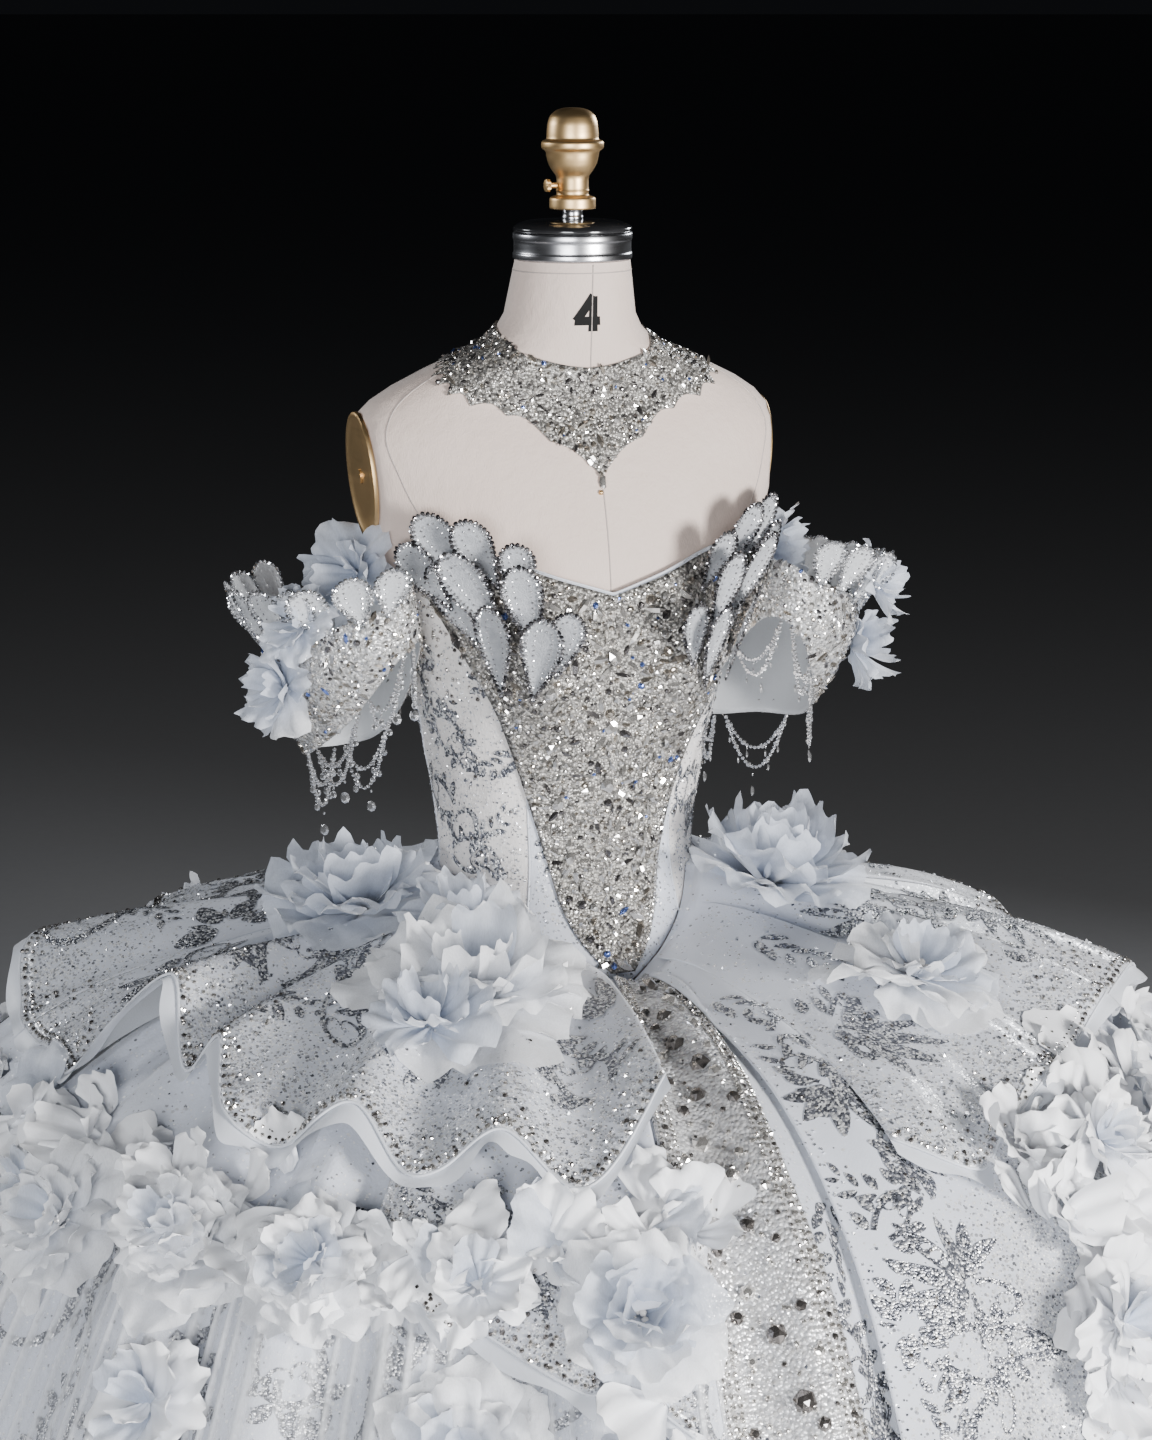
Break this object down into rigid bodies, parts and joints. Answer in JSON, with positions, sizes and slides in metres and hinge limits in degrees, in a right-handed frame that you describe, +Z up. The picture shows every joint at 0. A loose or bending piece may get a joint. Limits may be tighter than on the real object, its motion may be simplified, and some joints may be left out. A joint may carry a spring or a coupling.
{
  "type": "wedding dress on dress form",
  "caption": "Off-the-shoulder ball gown with jewelled basque bodice, fluted peplum and gathered full skirt, standing on a limbless dress form.",
  "frame": {"origin": "centre of the stand base's underside, on the floor", "axes": "+Z up, -Y towards the gown's front, +X towards the wearer's left"},
  "size_m": [1.8954, 1.893, 1.6727],
  "materials": {
    "flower_organza": "pale blue and white organza, softly creased",
    "petal_organza": "sheer organza petals edged with beads",
    "stone_beading": "tulle closely set with clear and smoky stones",
    "bead_strings": "strung clear glass beads with small drops",
    "skirt_tulle": "white tulle over glitter-printed satin",
    "bodice_satin": "white satin and sheer tulle with silver glitter",
    "sleeve_organza": "stiffened organza with beading outside",
    "tier_satin": "white satin with silver glitter motifs and a beaded hem",
    "form_linen": "pale pink-beige linen cover",
    "polished_steel": "polished steel",
    "satin_brass": "satin brass",
    "black_gloss": "black gloss"
  },
  "bodies": {
    "root": {"arm_plate_left": "satin_brass", "arm_plate_right": "satin_brass", "beaded_collar": "stone_beading", "bodice_back_left": "bodice_satin", "bodice_back_placket": "bodice_satin", "bodice_back_right": "bodice_satin", "bodice_front": "bodice_satin", "bodice_side_left": "bodice_satin", "bodice_side_right": "bodice_satin", "finial": "satin_brass", "finial_rod": "polished_steel", "finial_thumb_screw": "satin_brass", "flower_hip_left": "flower_organza", "flower_hip_right": "flower_organza", "flower_peplum_left": "flower_organza", "flower_short_tier": "flower_organza", "flower_skirt_01": "flower_organza", "flower_skirt_02": "flower_organza", "flower_skirt_03": "flower_organza", "flower_skirt_04": "flower_organza", "flower_skirt_05": "flower_organza", "flower_skirt_06": "flower_organza", "flower_skirt_07": "flower_organza", "flower_skirt_08": "flower_organza", "flower_skirt_09": "flower_organza", "flower_skirt_10": "flower_organza", "flower_sleeve_left": "flower_organza", "flower_sleeve_right": "flower_organza", "flower_waist_front_right": "flower_organza", "form_cap_plate": "black_gloss", "form_neck_ring": "polished_steel", "form_torso": "form_linen", "jewel_plastron": "stone_beading", "overskirt_panel_left": "tier_satin", "peplum_back_left": "tier_satin", "peplum_back_right": "tier_satin", "peplum_front_left": "tier_satin", "peplum_front_right": "tier_satin", "petal_fan_left": "petal_organza", "petal_fan_right": "petal_organza", "short_tier_right": "tier_satin", "skirt_centre_strip": "stone_beading", "skirt_gore_back_left": "skirt_tulle", "skirt_gore_back_right": "skirt_tulle", "skirt_gore_front_left": "skirt_tulle", "skirt_gore_front_right": "skirt_tulle", "skirt_gore_side_back_left": "skirt_tulle", "skirt_gore_side_back_right": "skirt_tulle", "skirt_gore_side_front_left": "skirt_tulle", "skirt_gore_side_front_right": "skirt_tulle", "sleeve_left": "sleeve_organza", "sleeve_petals_left": "petal_organza", "sleeve_petals_right": "petal_organza", "sleeve_right": "sleeve_organza", "sleeve_swags_left": "bead_strings", "sleeve_swags_right": "bead_strings", "stand_base": "black_gloss", "stand_pole": "polished_steel"}
  },
  "joints": []
}
